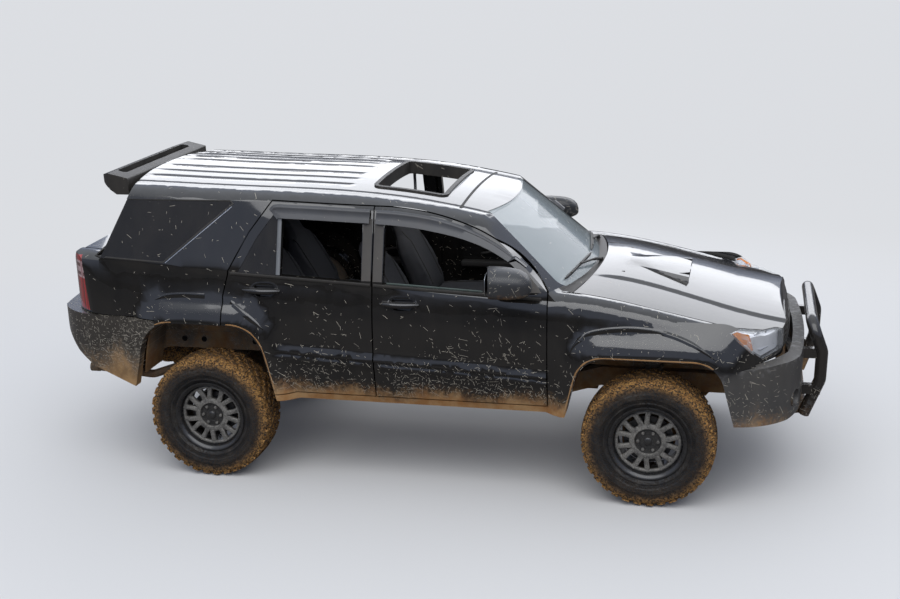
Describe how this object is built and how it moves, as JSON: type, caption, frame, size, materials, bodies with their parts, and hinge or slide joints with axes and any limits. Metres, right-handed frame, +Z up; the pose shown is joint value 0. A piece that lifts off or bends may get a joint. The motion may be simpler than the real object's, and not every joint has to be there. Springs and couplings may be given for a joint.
{
  "type": "off-road passenger car",
  "caption": "Lifted off-road wagon on a ladder frame, with steered front wheels, opening side doors, hood and tailgate, a tubular front guard and a roof spoiler.",
  "frame": {"origin": "on the ground under the middle of the overall length", "axes": "+X forward, +Y to the car's left, +Z up"},
  "size_m": [4.9294, 2.232, 1.9266],
  "materials": {
    "body_paint": "high-gloss black paint, dusty and mud-splashed low down",
    "satin_grey": "satin dark grey cover, scuffed",
    "black_trim": "satin black trim",
    "bar_paint": "gloss black powder coat",
    "frame_paint": "dusty chassis paint",
    "liner_plastic": "dusty black liner",
    "screen_glass": "clear glass, slightly green",
    "dark_glass": "privacy-tinted glass",
    "lamp_glass": "clear lamp lens",
    "tail_red": "red lamp lens",
    "seat_cloth": "grey woven cloth",
    "dash_plastic": "grained dark plastic",
    "wheel_leather": "black leather",
    "engine_metal": "dull cast metal",
    "under_steel": "dusty steel",
    "exhaust_steel": "heat-tinted steel",
    "tank_plastic": "black tank",
    "tyre_rubber": "rubber caked with ochre mud",
    "rim_black": "gloss black cast wheel"
  },
  "bodies": {
    "chassis": {"ladder_frame": "frame_paint", "floor_pan": "body_paint", "cowl": "body_paint", "body_side_left": "body_paint", "body_side_right": "body_paint", "roof_panel": "body_paint", "sunroof_seal": "black_trim", "sunroof_glass": "dark_glass", "fender_left": "body_paint", "fender_right": "body_paint", "windscreen": "screen_glass", "quarter_glass": "dark_glass", "front_bumper": "satin_grey", "rear_bumper": "satin_grey", "bull_bar": "bar_paint", "grille": "black_trim", "headlamps": "lamp_glass", "fog_lamps": "lamp_glass", "tail_lamps": "tail_red", "arch_liners": "liner_plastic", "front_seat_left": "seat_cloth", "front_seat_right": "seat_cloth", "rear_seat": "seat_cloth", "dashboard": "dash_plastic", "engine_block": "engine_metal", "exhaust": "exhaust_steel", "fuel_tank": "tank_plastic", "front_suspension": "under_steel", "rear_axle": "under_steel", "driveline": "under_steel", "spare_tyre": "tyre_rubber", "spare_rim": "rim_black"},
    "front_door_left_body": {"front_door_left": "body_paint", "mirror_left": "body_paint"},
    "front_door_right_body": {"front_door_right": "body_paint", "mirror_right": "body_paint"},
    "rear_door_left_body": {"rear_door_left": "body_paint", "vent_glass_left": "dark_glass"},
    "rear_door_right_body": {"rear_door_right": "body_paint", "vent_glass_right": "dark_glass"},
    "hood_body": {"hood": "body_paint"},
    "tailgate_body": {"tailgate": "body_paint", "tailgate_glass": "dark_glass", "spoiler": "body_paint"},
    "steering_wheel_body": {"steering_wheel": "wheel_leather"},
    "knuckle_left_body": {"knuckle_left": "under_steel"},
    "knuckle_right_body": {"knuckle_right": "under_steel"},
    "wheel_front_left": {"tyre_front_left": "tyre_rubber", "rim_front_left": "rim_black"},
    "wheel_front_right": {"tyre_front_right": "tyre_rubber", "rim_front_right": "rim_black"},
    "wheel_rear_left": {"tyre_rear_left": "tyre_rubber", "rim_rear_left": "rim_black"},
    "wheel_rear_right": {"tyre_rear_right": "tyre_rubber", "rim_rear_right": "rim_black"}
  },
  "joints": [
    {"name": "front_door_right_hinge", "type": "hinge", "parent": "chassis", "child": "front_door_right_body", "pos_m": [0.825, -0.907, 0.95], "axis": [0, 0, 1], "range_deg": [0, 65]},
    {"name": "front_door_left_hinge", "type": "hinge", "parent": "chassis", "child": "front_door_left_body", "pos_m": [0.825, 0.907, 0.95], "axis": [0, 0, -1], "range_deg": [0, 65]},
    {"name": "rear_door_right_hinge", "type": "hinge", "parent": "chassis", "child": "rear_door_right_body", "pos_m": [-0.2475, -0.907, 0.95], "axis": [0, 0, 1], "range_deg": [0, 65]},
    {"name": "rear_door_left_hinge", "type": "hinge", "parent": "chassis", "child": "rear_door_left_body", "pos_m": [-0.2475, 0.907, 0.95], "axis": [0, 0, -1], "range_deg": [0, 65]},
    {"name": "hood_hinge", "type": "hinge", "parent": "chassis", "child": "hood_body", "pos_m": [0.93, 0, 1.312], "axis": [0, -1, 0], "range_deg": [0, 50]},
    {"name": "tailgate_hinge", "type": "hinge", "parent": "chassis", "child": "tailgate_body", "pos_m": [-1.9, 0, 1.893], "axis": [0, 1, 0], "range_deg": [0, 80]},
    {"name": "steer_left", "type": "hinge", "parent": "chassis", "child": "knuckle_left_body", "pos_m": [1.435, 0.69, 0.405], "axis": [0, 0, 1], "range_deg": [-30, 30]},
    {"name": "steer_right", "type": "hinge", "parent": "chassis", "child": "knuckle_right_body", "pos_m": [1.435, -0.69, 0.405], "axis": [0, 0, 1], "range_deg": [-30, 30]},
    {"name": "steering_wheel_turn", "type": "hinge", "parent": "chassis", "child": "steering_wheel_body", "pos_m": [0.485, 0.37, 1.2], "axis": [-0.9063, 0, 0.4226], "range_deg": [-480, 480]},
    {"name": "wheel_front_left_spin", "type": "hinge", "parent": "knuckle_left_body", "child": "wheel_front_left", "pos_m": [1.435, 0.7875, 0.405], "axis": [0, 1, 0], "continuous": true},
    {"name": "wheel_front_right_spin", "type": "hinge", "parent": "knuckle_right_body", "child": "wheel_front_right", "pos_m": [1.435, -0.7875, 0.405], "axis": [0, 1, 0], "continuous": true},
    {"name": "wheel_rear_left_spin", "type": "hinge", "parent": "chassis", "child": "wheel_rear_left", "pos_m": [-1.355, 0.7875, 0.405], "axis": [0, 1, 0], "continuous": true},
    {"name": "wheel_rear_right_spin", "type": "hinge", "parent": "chassis", "child": "wheel_rear_right", "pos_m": [-1.355, -0.7875, 0.405], "axis": [0, 1, 0], "continuous": true}
  ],
  "couplings": [
    {"joint": "steer_right", "follows": "steer_left", "ratio": 1},
    {"joint": "steering_wheel_turn", "follows": "steer_left", "ratio": 16}
  ]
}
